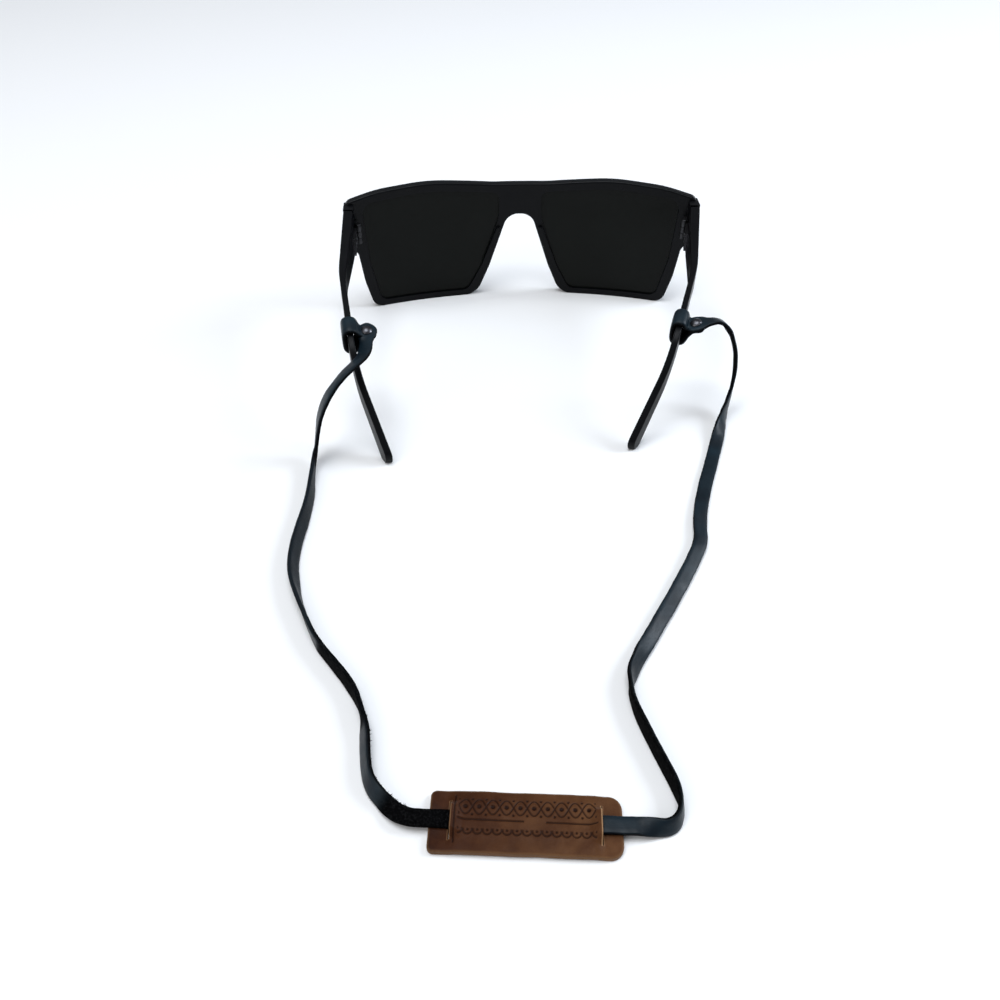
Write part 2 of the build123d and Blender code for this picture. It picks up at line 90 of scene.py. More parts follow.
def basis(origin, x_dir, y_dir, z_dir):
    """Turns millimetres in a local frame into metres in the world."""
    matrix = Matrix((x_dir, y_dir, z_dir)).transposed().to_4x4()
    matrix.translation = Vector(origin)
    return matrix @ Matrix.Scale(MM, 4)


def rivet_place(side):
    """Where the rivet stands in its loop's own frame: across the temple and up it."""
    (x, y), tilt = PAD_ROOTS[side], PAD_TILTS[side]
    return Vector((x + RIVET_REACH * cos(tilt), y + RIVET_REACH * sin(tilt), 0))


def loop_basis(side):
    """x across the temple, y up its height and z along it, at the middle of its loop."""
    run = -Vector(joint(f"{side}_loop_slide")["axis"]).normalized()
    x_dir = Vector((-run.y, run.x, 0)).normalized()
    y_dir = run.cross(x_dir)
    return basis(Vector(LOOP_MIDDLES[side]) * MM, x_dir, y_dir, run)


def pad_basis(side):
    """Origin where the rivet crosses the seam, x away from the temple and z up through the pad."""
    turn = Matrix.Rotation(PAD_TILTS[side], 4, "Z") @ Matrix.Rotation(radians(-90), 4, "X")
    return LOOPS[side] @ Matrix.Translation(rivet_place(side)) @ turn


def tag_basis():
    x_dir = Vector(joint("tag_slide")["axis"]).normalized()
    middle = box_middle("leather_tag")
    return basis((middle.x, middle.y, 0), x_dir, UP.cross(x_dir), UP)


LOOPS = {side: loop_basis(side) for side in ("left", "right")}
PADS = {side: pad_basis(side) for side in ("left", "right")}
TAG = tag_basis()


# ---------------------------------------------------------------- camera, lights and floor
def camera():
    """Looks down on the strap from above the tag, at the glasses beyond it."""
    pitch, yaw, roll = radians(43.67), radians(3.29), radians(0.78)
    forward = Vector((sin(yaw) * cos(pitch), cos(yaw) * cos(pitch), -sin(pitch)))
    right = forward.cross(UP).normalized()
    up = right.cross(forward)
    matrix = Matrix((cos(roll) * right + sin(roll) * up,
                     cos(roll) * up - sin(roll) * right,
                     -forward)).transposed().to_4x4()
    matrix.translation = Vector((-29.4, -331.1, 236.9)) * MM
    data = bpy.data.cameras.new("camera")
    data.sensor_width = 36.0
    data.lens = 34.2
    data.clip_start = 0.01
    made = bpy.data.objects.new("camera", data)
    made.matrix_world = matrix
    bpy.context.collection.objects.link(made)
    bpy.context.scene.camera = made


def softbox(name, place, aim, size, power, colour):
    data = bpy.data.lights.new(name, "AREA")
    data.size = size
    data.energy = power
    data.color = colour
    lamp = bpy.data.objects.new(name, data)
    lamp.location = place
    lamp.rotation_euler = (Vector(aim) - Vector(place)).to_track_quat("-Z", "Y").to_euler()
    bpy.context.collection.objects.link(lamp)


def studio():
    """A large soft light overhead, a smaller bluish one beside it and a weak one opposite."""
    strap = (0, -0.08, 0)
    softbox("overhead", (-0.15, -0.05, 1.2), strap, 0.8, 10.5, (0.92, 0.96, 1.0))
    softbox("window", (1.10, 0.12, 0.72), strap, 0.55, 10.5, (0.84, 0.91, 1.0))
    softbox("fill", (-1.0, -0.7, 0.8), strap, 1.0, 5.5, (1.0, 0.97, 0.93))
    world = bpy.data.worlds.new("studio")
    world.use_nodes = True
    background = world.node_tree.nodes["Background"]
    background.inputs["Color"].default_value = (0.90, 0.93, 1.0, 1)
    background.inputs["Strength"].default_value = 0.28
    bpy.context.scene.world = world
    bpy.context.scene.view_settings.view_transform = "Standard"


def floor():
    mesh = bpy.data.meshes.new("floor")
    reach = 3.0
    mesh.from_pydata([(-reach, -reach, 0), (reach, -reach, 0), (reach, reach, 0), (-reach, reach, 0)],
                     [], [(0, 1, 2, 3)])
    made = bpy.data.objects.new("floor", mesh)
    bpy.context.collection.objects.link(made)
    mesh.materials.append(plain("floor_paper", (0.90, 0.90, 0.90), 0.85))


# ---------------------------------------------------------------- material helpers
def plain(name, colour, roughness, **sockets):
    """A Principled material whose constant values are set on the shader itself."""
    made = bpy.data.materials.new(name)
    made.use_nodes = True
    shader = made.node_tree.nodes["Principled BSDF"]
    shader.inputs["Base Color"].default_value = (*colour, 1)
    shader.inputs["Roughness"].default_value = roughness
    for socket, value in sockets.items():
        shader.inputs[socket.replace("_", " ")].default_value = value
    return made


class Graph:
    """Short calls for the few node kinds that the materials use."""

    def __init__(self, material):
        self.tree = material.node_tree
        self.shader = self.tree.nodes["Principled BSDF"]
        self.place = self.node("ShaderNodeTexCoord").outputs["Object"]

    def node(self, kind, **settings):
        made = self.tree.nodes.new(kind)
        for name, value in settings.items():
            setattr(made, name, value)
        return made

    def link(self, source, target):
        self.tree.links.new(source, target)

    def stretched(self, scale):
        mapping = self.node("ShaderNodeMapping")
        self.link(self.place, mapping.inputs["Vector"])
        mapping.inputs["Scale"].default_value = scale
        return mapping.outputs["Vector"]

    def noise(self, scale, detail, roughness=0.55, where=None):
        made = self.node("ShaderNodeTexNoise")
        self.link(where or self.place, made.inputs["Vector"])
        made.inputs["Scale"].default_value = scale
        made.inputs["Detail"].default_value = detail
        made.inputs["Roughness"].default_value = roughness
        return made.outputs["Fac"]

    def cells(self, scale):
        made = self.node("ShaderNodeTexVoronoi", feature="F1")
        self.link(self.place, made.inputs["Vector"])
        made.inputs["Scale"].default_value = scale
        return made.outputs["Distance"]

    def ramp(self, source, low, high, to_low=0.0, to_high=1.0):
        made = self.node("ShaderNodeMapRange")
        self.link(source, made.inputs["Value"])
        for name, value in zip(("From Min", "From Max", "To Min", "To Max"), (low, high, to_low, to_high)):
            made.inputs[name].default_value = value
        return made.outputs["Result"]

    def math(self, operation, first, second):
        made = self.node("ShaderNodeMath", operation=operation)
        for value, socket in zip((first, second), made.inputs):
            if isinstance(value, (int, float)):
                socket.default_value = value
            else:
                self.link(value, socket)
        return made.outputs["Value"]

    def mix(self, factor, first, second):
        """Mixes two colours, given as values or sockets."""
        made = self.node("ShaderNodeMix", data_type="RGBA")
        self.link(factor, made.inputs[0])
        for value, socket in ((first, made.inputs[6]), (second, made.inputs[7])):
            if isinstance(value, tuple):
                socket.default_value = (*value, 1)
            else:
                self.link(value, socket)
        return made.outputs[2]

    def attribute(self, name):
        return self.node("ShaderNodeAttribute", attribute_name=name).outputs["Fac"]

    def bump(self, height, distance, strength, after=None):
        made = self.node("ShaderNodeBump")
        made.inputs["Distance"].default_value = distance
        made.inputs["Strength"].default_value = strength
        self.link(height, made.inputs["Height"])
        if after:
            self.link(after, made.inputs["Normal"])
        return made.outputs["Normal"]

    def set(self, socket, source):
        self.link(source, self.shader.inputs[socket])


# ---------------------------------------------------------------- materials
def frame_plastic():
    """Black moulded plastic, glossy but handled: faint smears, fine moulding texture and dust."""
    black = (0.002, 0.0023, 0.003)
    made = plain("frame_plastic", black, 0.3, Specular_IOR_Level=0.11)
    g = Graph(made)
    smears = g.noise(60, 4)
    g.set("Roughness", g.ramp(smears, 0.3, 0.75, 0.26, 0.46))
    dust = g.ramp(g.noise(2600, 2), 0.68, 0.80)
    g.set("Base Color", g.mix(dust, black, (0.016, 0.017, 0.018)))
    fine = g.bump(g.noise(1400, 2), 0.00002, 0.35)
    g.set("Normal", g.bump(g.noise(35, 2), 0.0002, 0.25, fine))
    return made


def smoke_lens():
    """Dark smoke lens: polished, with a faint film of fingerprints."""
    made = plain("smoke_lens", (0.005, 0.006, 0.005), 0.08, Specular_IOR_Level=0.07,
                 Transmission_Weight=0.04, IOR=1.49)
    g = Graph(made)
    g.set("Roughness", g.ramp(g.noise(45, 4), 0.35, 0.75, 0.05, 0.20))
    g.set("Base Color", g.mix(g.noise(22, 2), (0.002, 0.0025, 0.002), (0.006, 0.007, 0.006)))
    return made


def metal(name, colour, roughness, scratch):
    """Plain hinge and rivet metal with fine rubbing marks."""
    made = plain(name, colour, roughness, Metallic=1.0)
    g = Graph(made)
    marks = g.noise(900, 3, 0.6, g.stretched((1, 6, 1)))
    g.set("Roughness", g.ramp(marks, 0.3, 0.7, roughness - 0.08, roughness + 0.16))
    darker = tuple(0.55 * value for value in colour)
    g.set("Base Color", g.mix(g.ramp(g.noise(500, 3), 0.4, 0.7), colour, darker))
    g.set("Normal", g.bump(marks, 0.00001, scratch))
    return made


def lace_leather():
    """Black lace: a smooth blue-black grain side, and a matt fibrous flesh side and cut edges."""
    made = plain("lace_leather", (0.005, 0.007, 0.010), 0.45, Specular_IOR_Level=0.2)
    g = Graph(made)
    flesh = g.attribute("flesh")
    patches = g.ramp(g.noise(110, 3), 0.35, 0.7)
    grain = g.mix(patches, (0.003, 0.007, 0.011), (0.006, 0.016, 0.024))
    fibres = g.ramp(g.noise(1500, 5, 0.75), 0.50, 0.72)
    suede = g.mix(fibres, (0.001, 0.001, 0.0012), (0.014, 0.014, 0.015))
    g.set("Base Color", g.mix(flesh, grain, suede))
    g.set("Specular IOR Level", g.ramp(flesh, 0.0, 1.0, 0.20, 0.03))
    polish = g.ramp(g.noise(160, 4), 0.3, 0.75, 0.30, 0.48)
    g.set("Roughness", g.math("MAXIMUM", polish, g.math("MULTIPLY", flesh, 0.95)))
    pores = g.ramp(g.cells(2300), 0.0, 0.55)
    creases = g.noise(700, 4, 0.6)
    skin = g.math("ADD", g.math("MULTIPLY", pores, 0.5), creases)
    rough = g.math("MULTIPLY", g.noise(3400, 4, 0.75), g.math("MULTIPLY", flesh, 2.5))
    g.set("Normal", g.bump(g.math("ADD", skin, rough), 0.00008, 0.55))
    return made


def tag_leather():
    """Brown leather: mottled dye, darker towards the tag's left end and lighter towards its right, darker stamped
    lines, pale worn edges and a painted highlight along the right slit's cut edge.
    """
    made = plain("tag_leather", (0.06, 0.02, 0.01), 0.5, Specular_IOR_Level=0.08)
    g = Graph(made)
    mottle = g.ramp(g.noise(130, 5, 0.6), 0.3, 0.72)
    # the brown is darker towards the tag's left end and lighter towards its right
    left_end_brown = g.mix(mottle, (0.024, 0.006, 0.002), (0.056, 0.018, 0.006))
    right_end_brown = g.mix(mottle, (0.058, 0.020, 0.007), (0.115, 0.050, 0.020))
    dyed = g.mix(g.attribute("lighter_rightward"), left_end_brown, right_end_brown)
    stamped = g.mix(g.attribute("stamped"), dyed, (0.012, 0.003, 0.001))
    # pale worn edges, plus a painted highlight on the right slit's lit cut edge
    worn_edges_and_highlight = g.mix(g.attribute("edge"), stamped, (0.30, 0.17, 0.085))
    g.set("Base Color", worn_edges_and_highlight)
    g.set("Roughness", g.ramp(g.noise(240, 4), 0.3, 0.7, 0.42, 0.62))
    pores = g.ramp(g.cells(1500), 0.0, 0.5)
    hide = g.math("ADD", g.math("MULTIPLY", pores, 0.6), g.noise(620, 5, 0.65))
    g.set("Normal", g.bump(hide, 0.00012, 0.5))
    return made


# ---------------------------------------------------------------- mesh helpers
def new_piece(name, points, faces, material, flat=()):
    """A smooth-shaded mesh piece; the faces numbered in flat keep their edges sharp."""
    mesh = bpy.data.meshes.new(name)
    mesh.from_pydata([tuple(p) for p in points], [], faces)
    mesh.materials.append(material)
    mesh.update()
    for polygon in mesh.polygons:
        polygon.use_smooth = polygon.index not in flat
    made = bpy.data.objects.new(name, mesh)
    bpy.context.collection.objects.link(made)
    return made


def paint(piece, name, values):
    """A number per point, for the material to read."""
    piece.data.attributes.new(name, "FLOAT", "POINT").data.foreach_set("value", values)


def smooth(value):
    """A soft step from 0 to 1."""
    value = min(1.0, max(0.0, value))
    return value * value * (3 - 2 * value)


def directions(points):
    """Unit tangents of a line of points."""
    ahead = points[1:] + points[-1:]
    behind = points[:1] + points[:-1]
    return [(a - b).normalized() for a, b in zip(ahead, behind)]


def lengths_along(points):
    """How far each point of a line is from its first."""
    reached = [0.0]
    for before, after in zip(points, points[1:]):
        reached.append(reached[-1] + (after - before).length)
    return reached


def nurbs_points(control, spacing):
    """Evenly spaced points, in metres, on the smooth curve with these control points."""
    data = bpy.data.curves.new("route", "CURVE")
    data.dimensions = "3D"
    spline = data.splines.new("NURBS")
    spline.points.add(len(control) - 1)
    for target, point in zip(spline.points, control):
        target.co = (*point, 1)
    spline.order_u = 3
    spline.use_endpoint_u = True
    spline.resolution_u = 24
    holder = bpy.data.objects.new("route", data)
    bpy.context.collection.objects.link(holder)
    bpy.context.view_layer.update()
    line = bpy.data.meshes.new_from_object(holder)
    dense = [vertex.co.copy() for vertex in line.vertices]
    bpy.data.objects.remove(holder)
    bpy.data.meshes.remove(line)
    reached = lengths_along(dense)
    count = max(2, round(reached[-1] / spacing))
    points, place = [], 0
    for step in range(count + 1):
        wanted = reached[-1] * step / count
        while place < len(dense) - 2 and reached[place + 1] < wanted:
            place += 1
        span = reached[place + 1] - reached[place]
        share = (wanted - reached[place]) / span if span else 0.0
        points.append(dense[place].lerp(dense[place + 1], share))
    return points


def lace_section():
    """Section of the lace: across and through it in mm, grain side up, and how matt it is there."""
    half, deep, round_off, corner, crown = LACE_WIDTH / 2, LACE_THICKNESS / 2, 0.32, 0.1, 0.05
    flat = [-1, -0.5, 0, 0.5, 1]
    grain = [(share * (half - round_off), deep + crown * (1 - share * share), 0.0) for share in flat]
    edge = [(half - corner, deep - corner, 0.25), (half, deep * 0.35, 0.8), (half, -deep * 0.35, 1.0),
            (half - corner, corner - deep, 1.0)]
    flesh = [(-share * (half - round_off), -deep, 1.0) for share in flat]
    return grain + edge + flesh + [(-across, through, matt) for across, through, matt in reversed(edge)]


SECTION = lace_section()


def facing(keys, along):
    """The way the grain side faces, along mm from the start of a lace, between given keys."""
    for (start, first), (end, second) in zip(keys, keys[1:]):
        if along <= end:
            share = smooth((along - start) / (end - start))
            return Vector(first).normalized().lerp(Vector(second).normalized(), share)
    return Vector(keys[-1][1])


def square_to(tangent, normal):
    """The part of normal that is square to tangent, as a unit vector."""
    return (normal - tangent * normal.dot(tangent)).normalized()


def swell(along, middle, reach, amount):
    """1, rising smoothly to 1 + amount at one place along a strip."""
    return 1 + amount * smooth(1 - abs(along - middle) / reach)


def ribbon_mesh(points, normals, seed, rough=0.12, start=0.0, round_head=0.0, widen=None, thicken=1.0,
                worn=()):
    """Vertices, faces, flesh values and cap faces of a length of lace along points.

    Its grain side faces normals. Its hand-cut edges wander by about rough mm, but not at the two
    ends, so lengths that meet look like one; start is the first end's place along the whole lace.
    round_head gives the mm over which the first end is cut round. widen gives the breadth, as a
    share of the lace's, at a place along, and thicken is the same for the thickness.
    worn lists stretches, in mm, where both sides have grown alike, and how matt they are there.
    """
    wander_fade, worn_fade = 2.5, 6.0   # mm over which a wander or a worn stretch sets in
    slow, fast = 0.16, 1.3              # noise steps per mm: an edge's wander, and its fray
    dent_depth = 0.05
    tangents = directions(points)
    reached = [at / MM for at in lengths_along(points)]
    vertices, flesh = [], []
    for point, tangent, normal, along in zip(points, tangents, normals, reached):
        normal = square_to(tangent, normal)
        side = tangent.cross(normal)
        free = smooth(min(along, reached[-1] - along) / wander_fade)
        place = start + along
        broad = widen(along) if widen else 1.0
        if along < round_head:
            broad *= max(0.06, 1 - (1 - along / round_head) ** 2) ** 0.5
        for across, through, matt in SECTION:
            edge = 1 if across > 0 else -1
            wander = noise.noise(Vector((place * slow, edge * 3.1, seed)))
            fray = noise.noise(Vector((place * fast, edge * 7.7, seed))) * (0.3 + matt)
            moved = edge * abs(across) / LACE_WIDTH * rough * 2 * (wander + 0.5 * fray) * free
            dent = dent_depth * free * noise.noise(Vector((place * 0.5, across * 0.6, seed + 9)))
            vertices.append(point + (side * (across * broad + moved)
                                     + normal * (through * thicken + dent)) * MM)
            for begin, stop, level in worn:
                over = smooth((place - begin) / worn_fade) * smooth((stop - place) / worn_fade)
                matt += (level - matt) * over
            flesh.append(matt)
    ring = len(SECTION)
    faces = []
    for row in range(len(points) - 1):
        for k in range(ring):
            a, b = row * ring + k, row * ring + (k + 1) % ring
            faces.append((a, b, b + ring, a + ring))
    # the cut ends have points of their own, so they don't shade the faces beside them
    last = len(vertices)
    vertices += vertices[:ring] + vertices[-ring:]
    flesh += 2 * ring * [1.0]
    caps = [tuple(reversed(range(last, last + ring))), tuple(range(last + ring, last + 2 * ring))]
    return vertices, faces + caps, flesh, {len(faces), len(faces) + 1}


def fuzz(points, normals, seed, edge, span):
    """Loose fibres along one raw edge of a lace, between two shares of its length.

    Each fibre is a three-sided spike. It leans out from the edge, mostly towards the flesh side.
    """
    chance = Random(seed)
    tangents = directions(points)
    vertices, faces = [], []
    first_row, last_row = (int(share * len(points)) for share in span)
    for k in range(first_row, last_row):
        normal = square_to(tangents[k], normals[k])
        side = edge * tangents[k].cross(normal)
        for _ in range(chance.choice((1, 2, 3, 4))):
            root = points[k] + (side * (LACE_WIDTH / 2 - 0.05) + normal * chance.uniform(-0.7, 0.4)
                                + tangents[k] * chance.uniform(0, 0.7)) * MM
            lean = side + normal * chance.uniform(-1.5, 0.5) + tangents[k] * chance.uniform(-1.0, 1.0)
            thin = tangents[k] * chance.uniform(0.10, 0.22) * MM
            tip = root + lean.normalized() * chance.uniform(0.25, 0.8) * MM
            tip.z = max(tip.z, 0.1 * MM)    # above the floor
            a = len(vertices)
            vertices += [root - thin, root + thin, root + normal * 0.08 * MM, tip]
            faces += [(a, a + 1, a + 3), (a + 1, a + 2, a + 3), (a + 2, a, a + 3)]
    return vertices, faces, [1.0] * len(vertices), set()


def lace_piece(name, *strips):
    """One piece of lace leather made of one or more ribbon meshes."""
    vertices, faces, flesh, flat = [], [], [], set()
    for points, loops, matt, caps in strips:
        flat |= {len(faces) + cap for cap in caps}
        faces += [tuple(len(vertices) + k for k in face) for face in loops]
        vertices += points
        flesh += matt
    made = new_piece(name, vertices, faces, LACE, flat)
    paint(made, "flesh", flesh)
    return made


# ---------------------------------------------------------------- free lace
# control points of each free lace, from its loop to the tag, in mm
FREE_POINTS = {
    "left": [
        (-64.0, -41.2, 33.8),
        (-66.6, -47.6, 35.0),
        (-70.6, -53.0, 34.0),
        (-74.8, -56.6, 30.2),
        (-78.1, -57.8, 24.4),
        (-80.4, -57.4, 17.6),
        (-81.7, -57.0, 11.0),
        (-82.7, -58.8, 5.4),
        (-83.4, -64.2, 2.2),
        (-83.3, -72.0, LYING_Z),
        (-83.0, -81.0, LYING_Z),
        (-84.0, -92.0, LYING_Z),
        (-85.6, -103.4, LYING_Z),
        (-85.9, -114.6, LYING_Z),
        (-83.4, -126.4, LYING_Z),
        (-79.2, -137.4, LYING_Z),
        (-75.0, -147.2, LYING_Z),
        (-69.6, -154.8, LYING_Z),
        (-64.4, -162.0, LYING_Z),
        (-60.4, -169.4, LYING_Z),
        (-58.4, -177.6, LYING_Z),
        (-57.9, -187.0, LYING_Z),
        (-56.7, -195.4, LYING_Z),
        (-52.4, -201.4, LYING_Z),
    ],
    "right": [
        (74.2, -30.6, 35.8),
        (77.4, -31.4, 28.8),
        (79.2, -31.0, 20.8),
        (79.6, -31.6, 12.8),
        (77.8, -35.4, 6.2),
        (74.4, -43.0, 2.4),
        (70.6, -52.6, LYING_Z),
        (66.6, -63.4, LYING_Z),
        (61.4, -76.6, LYING_Z),
        (57.0, -88.8, LYING_Z),
        (54.2, -99.4, LYING_Z),
        (53.2, -107.6, LYING_Z),
        (49.4, -115.2, LYING_Z),
        (43.8, -124.8, LYING_Z),
        (36.8, -136.2, LYING_Z),
        (29.8, -147.2, LYING_Z),
        (23.2, -157.4, LYING_Z),
        (19.6, -165.4, LYING_Z),
        (19.6, -173.2, LYING_Z),
        (22.0, -182.8, LYING_Z),
        (24.8, -192.4, LYING_Z),
        (27.4, -201.0, LYING_Z),
        (27.8, -207.6, LYING_Z),
        (24.4, -212.4, LYING_Z),
    ],
}

# the way the grain side faces where each lace leaves its loop, and then so many mm along from there
EXIT_FACING = {"left": (-0.20, 0.10, 0.97), "right": (0.0, 0.10, 0.99)}
FREE_FACING = {
    "left": [
        (8, (-0.28, 0.12, 0.95)),
        (18, (-0.36, 0.18, 0.92)),
        (33, (-0.85, -0.25, 0.45)),
        (43, (-0.93, -0.20, 0.28)),
        (52, (-0.97, -0.10, 0.12)),
        (62, (-0.99, 0, 0.05)),
        (80, (-0.95, 0, -0.28)),
        (95, (-0.89, 0, -0.46)),
        (118, (-0.87, -0.05, -0.50)),
        (130, (-0.96, -0.20, -0.18)),
        (141, (-0.93, -0.36, -0.02)),
        (152, (-0.86, -0.46, 0.14)),
        (168, (-0.84, -0.50, 0.24)),
        (177, (-1, -0.10, 0.02)),
        (186, (-0.88, -0.06, 0.47)),
        (198, (-0.84, -0.28, 0.46)),
        (206, (-0.55, -0.55, 0.62)),
        (213, (-0.10, -0.15, 0.98)),
    ],
    "right": [
        (3, (0.10, 0.33, 0.94)),
        (8, (0.55, 0.30, 0.78)),
        (13, (0.88, 0.0, 0.47)),
        (24, (0.97, -0.15, 0.20)),
        (34, (0.95, -0.29, 0.07)),
        (42, (0.86, -0.50, 0.05)),
        (48, (0.79, -0.52, 0.33)),
        (54, (0.56, -0.43, 0.71)),
        (60, (0.24, -0.18, 0.95)),
        (68, (0.08, 0, 1)),
        (90, (0.12, 0, 1)),
        (112, (0.30, 0, 0.95)),
        (125, (0.40, -0.1, 0.91)),
        (165, (0.38, -0.2, 0.90)),
        (178, (0.75, -0.30, 0.60)),
        (187, (1, -0.05, 0.05)),
        (200, (0.93, 0.34, -0.12)),
        (218, (0.93, 0.30, -0.15)),
        (227, (0.75, -0.60, 0.20)),
        (234, (0.10, -0.85, 0.52)),
        (240, (0.0, -0.25, 0.97)),
    ],
}

# stretches where both sides of the lace look alike: from and to, in mm from the loop, and how matt
WORN = {"left": [(60, 145, 0.5), (145, 186, 0.95), (203, 260, 1.0)], "right": []}

LOOP_STRETCH = 34.0 * MM    # the length of lace next to a loop
TAG_STRETCH = 58.0 * MM     # the length of lace next to the tag
CLIMB = 16.0 * MM           # the stretch that climbs onto the tag
SPACING = 0.7 * MM          # between the sections of the free lace
RIVET_CLEAR = 2.4           # mm from the rivet to where the strap may start to turn
WOVEN_HEIGHT = TAG_THICKNESS + WEAVE_PLAY + LACE_THICKNESS / 2

# raw edges with loose fibres: seed, edge and the shares of the last stretch between which they stand
FUZZ = {"left": (21, -1, (0.25, 0.95)), "right": (22, 1, (0.20, 0.75))}


def pad_point(side, out):
    """A point on a pad's exit line, out mm from the rivet."""
    turn = EXITS[side]
    return PADS[side] @ Vector((out * cos(turn), out * sin(turn), LACE_THICKNESS / 2))


def exit_facing(side, out):
    """The strap starts to turn on its edge as soon as it is clear of the rivet."""
    pad_up = (PADS[side].to_3x3() @ UP).normalized()
    turned = smooth((out - RIVET_CLEAR) / (STUB_LENGTH - RIVET_CLEAR))
    return pad_up.lerp(Vector(EXIT_FACING[side]).normalized(), turned)


def route(side):
    """Control points of a free lace, from its loop to the tag."""
    start = [pad_point(side, STUB_LENGTH), pad_point(side, STUB_LENGTH + STRAIGHT_OUT)]
    free = [Vector(point) * MM for point in FREE_POINTS[side]]
    sign = -1 if side == "left" else 1
    half = TAG_LENGTH / 2 + LACE_OVERHANG
    end = [TAG @ Vector((sign * (half + out), 0, WOVEN_HEIGHT)) for out in (STRAIGHT_OUT, 0)]
    return start + free + end


def settled(points, normals):
    """Lets the lying stretch down onto the floor, by as much as its tilt leaves under it."""
    lifted, blend = 9 * MM, 6 * MM      # points higher than this stay, and those lower follow
    tangents = directions(points)
    lowered = []
    for point, tangent, normal in zip(points, tangents, normals):
        normal = square_to(tangent, normal)
        side = tangent.cross(normal)
        half_height = (abs(side.z) * LACE_WIDTH + abs(normal.z) * LACE_THICKNESS) / 2 * MM
        lying = smooth((lifted - point.z) / blend)
        lowered.append(Vector((point.x, point.y, point.z + lying * (half_height - LYING_Z * MM))))
    return lowered


def free_lace(side, seed):
    """The lace between a loop and the tag, in three lengths."""
    points = nurbs_points(route(side), SPACING)
    reached = lengths_along(points)
    keys = [(0, EXIT_FACING[side])] + FREE_FACING[side] + [(reached[-1] / MM - 1, UP)]
    normals = [facing(keys, at / MM) for at in reached]
    # the last stretch climbs onto the tag, so it keeps its own height there
    points = [low.lerp(kept, smooth(1 - (reached[-1] - at) / CLIMB))
              for low, kept, at in zip(settled(points, normals), points, reached)]
    reached = lengths_along(points)
    first = min(k for k, at in enumerate(reached) if at >= LOOP_STRETCH)
    last = max(k for k, at in enumerate(reached) if at <= reached[-1] - TAG_STRETCH)
    parts = (("start", 0, first, f"{side}_loop", f"{side}_temple"),
             ("run", first, last, f"{side}_temple", "front"),
             ("end", last, len(points) - 1, "front", "tag"))
    for part, begin, stop, body_a, body_b in parts:
        line = points[begin:stop + 1]
        # a step of overlap hides the cut between two lengths
        strips = [ribbon_mesh(points[begin:stop + 2], normals[begin:stop + 2], seed,
                              start=reached[begin] / MM, worn=WORN[side])]
        if part == "end":
            strips.append(fuzz(line, normals[begin:stop + 1], *FUZZ[side]))
        piece = lace_piece(f"lace_{side}_{part}", *strips)
        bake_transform(piece)
        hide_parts(f"lace_{side}")


# ---------------------------------------------------------------- loops round the temples
# the band's middle line, across and up the temple in mm, from the pad's lower layer to its upper one
BAND_ROUND = {
    "left": [(3.1, -2.0), (2.35, -3.5), (1.6, -4.85), (0.1, -5.2), (-1.55, -4.8), (-2.25, -3.3),
             (-2.3, 0.1), (-2.25, 3.3), (-1.55, 4.75), (0.1, 5.15), (1.6, 4.75), (2.35, 3.5),
             (2.95, 1.95)],
    "right": [(3.1, -1.4), (2.5, -3.3), (1.65, -4.85), (0.1, -5.25), (-1.65, -4.9), (-2.45, -3.3),
              (-2.5, 0.1), (-2.35, 3.3), (-1.55, 4.75), (0.1, 5.15), (1.6, 4.75), (2.1, 3.4),
              (2.5, 2.3)],
}
BAND_SPACING = 0.4 * MM
BAND_THICKEN = 1.2          # folded and puckered, the band is thicker and broader than the lace
BAND_WIDEN = 1.6
SEAM_WIDEN = 1.1            # its breadth where its two ends lie under and over the seam
SEAM_HALF = 3.0             # the length of each of those ends, and that over which it broadens
SEAM_FADE = 6.0
PAD_HEAD = 4.2              # the strap's cut end, from the rivet
PAD_WIDEN = 0.58            # how much broader the strap is at the rivet, and over what length
PAD_REACH = 6.2


def strap_loop(side, seed):
    """The lace's end folded round the temple and riveted to itself: band, two-layer pad, way out."""
    def seam(out, up):
        return PADS[side] @ Vector((out, 0, up))

    band = [seam(3.0, -0.7), seam(0.6, -0.7), seam(-1.5, -0.8)]
    band += [LOOPS[side] @ Vector((x, y, 0)) for x, y in BAND_ROUND[side]]
    band += [seam(-1.5, 0.5), seam(0.2, 0.4), seam(2.4, 0.3)]
    line = nurbs_points(band, BAND_SPACING)
    tangents = directions(line)
    along_temple = (LOOPS[side].to_3x3() @ UP).normalized()
    middle = len(line) // 2
    from_temple = line[middle] - LOOPS[side].translation
    sign = 1 if from_temple.dot(tangents[middle].cross(along_temple)) > 0 else -1
    outward = [sign * tangent.cross(along_temple) for tangent in tangents]
    length = lengths_along(line)[-1] / MM

    def band_width(along):
        into = (min(along, length - along) - SEAM_HALF) / SEAM_FADE
        return SEAM_WIDEN + (BAND_WIDEN - SEAM_WIDEN) * smooth(into)

    around = ribbon_mesh(line, outward, seed, rough=0.45, widen=band_width, thicken=BAND_THICKEN,
                         round_head=2.0)
    steps = 28
    places = [-PAD_HEAD + step * (PAD_HEAD + STUB_LENGTH) / steps for step in range(steps + 1)]
    strap = ribbon_mesh([pad_point(side, out) for out in places],
                        [exit_facing(side, out) for out in places], seed + 3, rough=0.3, round_head=3.0,
                        widen=lambda along: swell(along, PAD_HEAD - 0.3, PAD_REACH, PAD_WIDEN))
    made = lace_piece(f"strap_loop_{side}", around, strap)
    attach(made, f"{side}_loop")
    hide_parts(f"{side}_loop")


